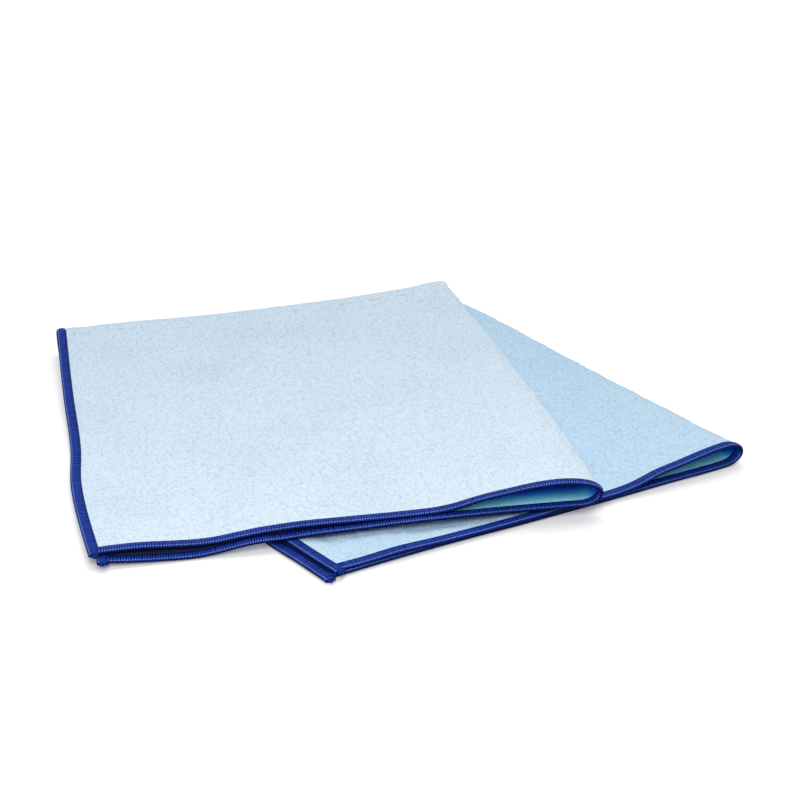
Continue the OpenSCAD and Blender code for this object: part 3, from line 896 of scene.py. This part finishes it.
def sewnRowTree():  # stitches set at a pitch along a guide line that says which way is out
    tree = bpy.data.node_groups.new("sewnRow", "GeometryNodeTree")
    face = tree.interface
    face.new_socket("Geometry", in_out="INPUT", socket_type="NodeSocketGeometry")
    sockets = {}
    for name, kind in (("Guide", "Object"), ("Stitch", "Object"), ("Pitch", "Float"), ("Sway", "Float"),
                       ("Swell", "Float"), ("Seed", "Int"), ("Thread", "Material")):
        socket = face.new_socket(name, in_out="INPUT", socket_type="NodeSocket" + kind)
        sockets[name] = socket.identifier
    face.new_socket("Geometry", in_out="OUTPUT", socket_type="NodeSocketGeometry")
    link = tree.links.new
    given = tree.nodes.new("NodeGroupInput")
    result = tree.nodes.new("NodeGroupOutput")
    guide = tree.nodes.new("GeometryNodeObjectInfo")
    stitch = tree.nodes.new("GeometryNodeObjectInfo")
    link(given.outputs["Guide"], guide.inputs["Object"])
    link(given.outputs["Stitch"], stitch.inputs["Object"])
    line = tree.nodes.new("GeometryNodeMeshToCurve")
    link(guide.outputs["Geometry"], line.inputs["Mesh"])
    places = tree.nodes.new("GeometryNodeResampleCurve")
    places.mode = "LENGTH"
    link(line.outputs["Curve"], places.inputs["Curve"])
    link(given.outputs["Pitch"], places.inputs["Length"])
    ways = []
    for name in ("out", "face"):
        way = tree.nodes.new("GeometryNodeInputNamedAttribute")
        way.data_type = "FLOAT_VECTOR"
        way.inputs["Name"].default_value = name
        ways.append(way.outputs["Attribute"])
    turn = tree.nodes.new("FunctionNodeAxesToRotation")
    turn.primary_axis = "X"
    turn.secondary_axis = "Z"
    link(ways[0], turn.inputs["Primary Axis"])
    link(ways[1], turn.inputs["Secondary Axis"])
    back = addNode(tree, "ShaderNodeMath")
    back.operation = "MULTIPLY"
    back.inputs[1].default_value = -1
    link(given.outputs["Sway"], back.inputs[0])
    sway = tree.nodes.new("FunctionNodeRandomValue")  # its number range: inputs 2 and 3, output 1
    link(back.outputs["Value"], sway.inputs[2])
    link(given.outputs["Sway"], sway.inputs[3])
    link(given.outputs["Seed"], sway.inputs["Seed"])
    lean = tree.nodes.new("FunctionNodeAxisAngleToRotation")
    lean.inputs["Axis"].default_value = (0, 0, 1)
    link(sway.outputs[1], lean.inputs["Angle"])
    turned = tree.nodes.new("FunctionNodeRotateRotation")
    turned.rotation_space = "LOCAL"
    link(turn.outputs["Rotation"], turned.inputs["Rotation"])
    link(lean.outputs["Rotation"], turned.inputs["Rotate By"])
    ends = []
    for operation in ("SUBTRACT", "ADD"):
        end = tree.nodes.new("ShaderNodeMath")
        end.operation = operation
        end.inputs[0].default_value = 1
        link(given.outputs["Swell"], end.inputs[1])
        ends.append(end.outputs["Value"])
    size = tree.nodes.new("FunctionNodeRandomValue")
    size.data_type = "FLOAT_VECTOR"
    link(ends[0], size.inputs[0])
    link(ends[1], size.inputs[1])
    link(given.outputs["Seed"], size.inputs["Seed"])
    row = tree.nodes.new("GeometryNodeInstanceOnPoints")
    link(places.outputs["Curve"], row.inputs["Points"])
    link(stitch.outputs["Geometry"], row.inputs["Instance"])
    link(turned.outputs["Rotation"], row.inputs["Rotation"])
    link(size.outputs[0], row.inputs["Scale"])
    real = tree.nodes.new("GeometryNodeRealizeInstances")
    link(row.outputs["Instances"], real.inputs["Geometry"])
    dyed = tree.nodes.new("GeometryNodeSetMaterial")
    link(real.outputs["Geometry"], dyed.inputs["Geometry"])
    link(given.outputs["Thread"], dyed.inputs["Material"])
    joined = tree.nodes.new("GeometryNodeJoinGeometry")
    link(given.outputs["Geometry"], joined.inputs["Geometry"])
    link(dyed.outputs["Geometry"], joined.inputs["Geometry"])
    link(joined.outputs["Geometry"], result.inputs["Geometry"])
    return tree, sockets


sewnRow, sewnSockets = sewnRowTree()
stitchShapes = {"looper": looperStitch(), "needle": needleStitch()}


def sew(obj, line, st, stitch, pitch, sway, swell, seed, thread):  # runs the tree and keeps its mesh
    guide = newObject("guide", placed(line), [], edges=[(k, k + 1) for k in range(len(line) - 1)])
    for name in ("out", "face"):
        way = guide.data.attributes.new(name, "FLOAT_VECTOR", "POINT")
        way.data.foreach_set("vector", np.ascontiguousarray(st[name], np.float32).ravel())
    setAttribute(guide, "shown", st["shown"])
    modifier = obj.modifiers.new("sewnRow", "NODES")
    modifier.node_group = sewnRow
    values = {"Guide": guide, "Stitch": stitch, "Pitch": pitch * mm, "Sway": sway, "Swell": swell,
              "Seed": seed, "Thread": thread}
    for name, value in values.items():
        modifier[sewnSockets[name]] = value
    graph = bpy.context.evaluated_depsgraph_get()
    graph.update()
    sewn = obj.evaluated_get(graph)
    mesh = bpy.data.meshes.new_from_object(sewn, preserve_all_data_layers=True, depsgraph=graph)
    obj.modifiers.clear()
    obj.data = mesh
    mesh.name = obj.name
    bpy.data.objects.remove(guide)
    return obj


def makeHem(name, st, seed):
    wrap = wrapMesh(name, st)
    return sew(wrap, st["edge"], st, stitchShapes["looper"], overlock["pitch"], overlock["sway"],
               overlock["swell"], seed, hemThread)


def makeNeedleRow(name, st, seed):
    inward = hem["width"] + needleRow["inFromHem"]
    line = st["edge"] - st["out"] * inward + st["face"] * needleRow["height"]
    row = newObject(name, [], [])
    return sew(row, line, st, stitchShapes["needle"], needleRow["pitch"], needleRow["sway"],
               needleRow["swell"], seed, needleThread)


def makeTail(name, st):  # trimmed thread chain where the side hem runs off the front edge
    start = st["edge"][-1] - st["out"][-1] * hem["width"] / 2
    ahead = st["along"][-1]
    t = np.linspace(0, 1, threadTails["rings"])
    shrink = 1 - (1 - threadTails["taper"]) * t
    around = np.linspace(0, 2 * math.pi, threadTails["sides"], endpoint=False)
    verts = []
    faces = []
    for k in range(threadTails["strands"]):
        phase = 2 * math.pi * (k / threadTails["strands"] + threadTails["turns"] * t)
        long = threadTails["long"] * t * (1 - threadTails["stagger"] * k)
        path = (start + ahead * (long - threadTails["start"])[:, None]
                + st["out"][-1] * (threadTails["wide"] * np.cos(phase) * shrink)[:, None]
                + st["face"][-1] * (threadTails["high"] * np.sin(phase) * shrink)[:, None])
        thick = threadTails["strand"] * shrink
        thick[-1] *= threadTails["tip"]
        rings = (path[:, None] + st["out"][-1] * (np.cos(around)[None, :] * thick[:, None])[..., None]
                 + st["face"][-1] * (np.sin(around)[None, :] * thick[:, None])[..., None])
        faces += tubeFaces(len(t), threadTails["sides"], len(verts) * len(t) * threadTails["sides"])
        verts.append(rings.reshape(-1, 3))
    obj = newObject(name, placed(np.concatenate(verts)), faces, [tailThread])
    faceOutwards(obj)
    return obj


hemPieces = {"lower": [], "upper": []}
seed = 30  # every row of stitches has its own random draws
for half in (lowerHalf, upperHalf):
    runs = {"front": frontStations(half), half["bottomHem"] + "_side": sideStations(half, False),
            half["topHem"] + "_side": sideStations(half, True)}
    for run, st in runs.items():
        stem = half["name"] + "_" + run
        looper = makeHem(stem + "_overlock", st, seed)
        needle = makeNeedleRow(stem + "_needle_row", st, seed + 1)
        parts = [(looper, stem + "_hem", "hem_thread"), (needle, stem + "_needle_thread", "needle_thread")]
        if run != "front":
            tail = half["name"] + "_" + run.replace("_side", "") + "_thread_tail"
            parts.append((makeTail(tail + "_chain", st), tail, "hem_thread"))
        for piece, node, slot in parts:
            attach(piece, half["body"])
            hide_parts(node)
            hemPieces[half["name"]].append(piece)
        seed += 2
    print(half["name"], "hems sewn")


def acrossFold(piece, node):
    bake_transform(piece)
    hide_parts(node)


bendPieces = {}
for outer, side in ((True, "outer"), (False, "inner")):
    bendPieces[outer] = makeHem("far_fold_" + side + "_overlock", bendStations(outer), seed)
    seed += 1
    acrossFold(stripPieces[outer], "far_fold_" + side)
    acrossFold(bendPieces[outer], "far_fold_" + side + "_hem")
for shape in stitchShapes.values():
    bpy.data.objects.remove(shape)

# each piece of the upper half gets a mesh of its own (the real upper half lies flatter as the fold opens,
# its swell pressed out against the table)
for piece in (halfPieces["upper"], *hemPieces["upper"]):
    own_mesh(piece)
print("far fold sewn")

# a white table under soft light
studio = {
    "world": 0.25,
    "lamp": 3.6,
    "lampSize": 0.5,
    "lampPlace": (-0.25, -0.58, 0.55),
    "sun": 1.64,
    "sunSoft": math.radians(60),
    "sunFrom": (0.37, 0.93, 1.30),
    "floor": 0.95,
    "lift": (0.07, 0.52),  # added white for the camera, near the lit spot and far from it
    "liftFrom": (-0.12, -0.30, 0),
    "liftReach": (0.04, 0.84),
    "floorSize": 6.0,
}


def backgroundRays(tree):  # camera, glossy and clear rays see the white of the background
    path = tree.nodes.new("ShaderNodeLightPath")
    seen = path.outputs["Is Camera Ray"]
    for name in ("Is Glossy Ray", "Is Transmission Ray"):
        most = tree.nodes.new("ShaderNodeMath")
        most.operation = "MAXIMUM"
        tree.links.new(seen, most.inputs[0])
        tree.links.new(path.outputs[name], most.inputs[1])
        seen = most.outputs["Value"]
    return seen


def scaled(tree, value, low, high, start=0, stop=1):
    spread = addNode(tree, "ShaderNodeMapRange")
    spread.inputs["From Min"].default_value = start
    spread.inputs["From Max"].default_value = stop
    spread.inputs["To Min"].default_value = low
    spread.inputs["To Max"].default_value = high
    tree.links.new(value, spread.inputs["Value"])
    return spread.outputs["Result"]


def makeFloor():
    m, tree, shader = startMaterial("paleFloor")
    shader.inputs["Base Color"].default_value = (studio["floor"], studio["floor"], studio["floor"], 1)
    shader.inputs["Roughness"].default_value = 1
    shader.inputs["Specular IOR Level"].default_value = 0
    shader.inputs["Emission Color"].default_value = (1, 1, 1, 1)
    away = addNode(tree, "ShaderNodeVectorMath")
    away.operation = "DISTANCE"
    away.inputs[1].default_value = studio["liftFrom"]
    tree.links.new(tree.nodes.new("ShaderNodeTexCoord").outputs["Object"], away.inputs[0])
    lift = scaled(tree, away.outputs["Value"], *studio["lift"], *studio["liftReach"])
    tree.links.new(multiplied(tree, backgroundRays(tree), lift), shader.inputs["Emission Strength"])
    size = studio["floorSize"]
    floor = newObject("floor", [(-size, -size, 0), (size, -size, 0), (size, size, 0), (-size, size, 0)],
                      [[0, 1, 2, 3]], [m])


def makeLight():
    scene = bpy.context.scene
    scene.view_settings.view_transform = "Standard"
    world = bpy.data.worlds.new("studio")
    scene.world = world
    world.use_nodes = True
    background = world.node_tree.nodes["Background"]
    background.inputs["Color"].default_value = (1, 1, 1, 1)
    tree = world.node_tree
    strength = scaled(tree, backgroundRays(tree), studio["world"], 1)
    tree.links.new(strength, background.inputs["Strength"])
    lamp = bpy.data.lights.new("softbox", "AREA")
    lamp.size = studio["lampSize"]
    lamp.energy = studio["lamp"]
    sun = bpy.data.lights.new("backLight", "SUN")
    sun.angle = studio["sunSoft"]
    sun.energy = studio["sun"]
    for data, place in ((lamp, studio["lampPlace"]), (sun, studio["sunFrom"])):
        light = bpy.data.objects.new(data.name, data)
        light.location = place
        light.rotation_euler = (-Vector(place)).to_track_quat("-Z", "Y").to_euler()
        scene.collection.objects.link(light)


makeFloor()
makeLight()
print("stage lit")
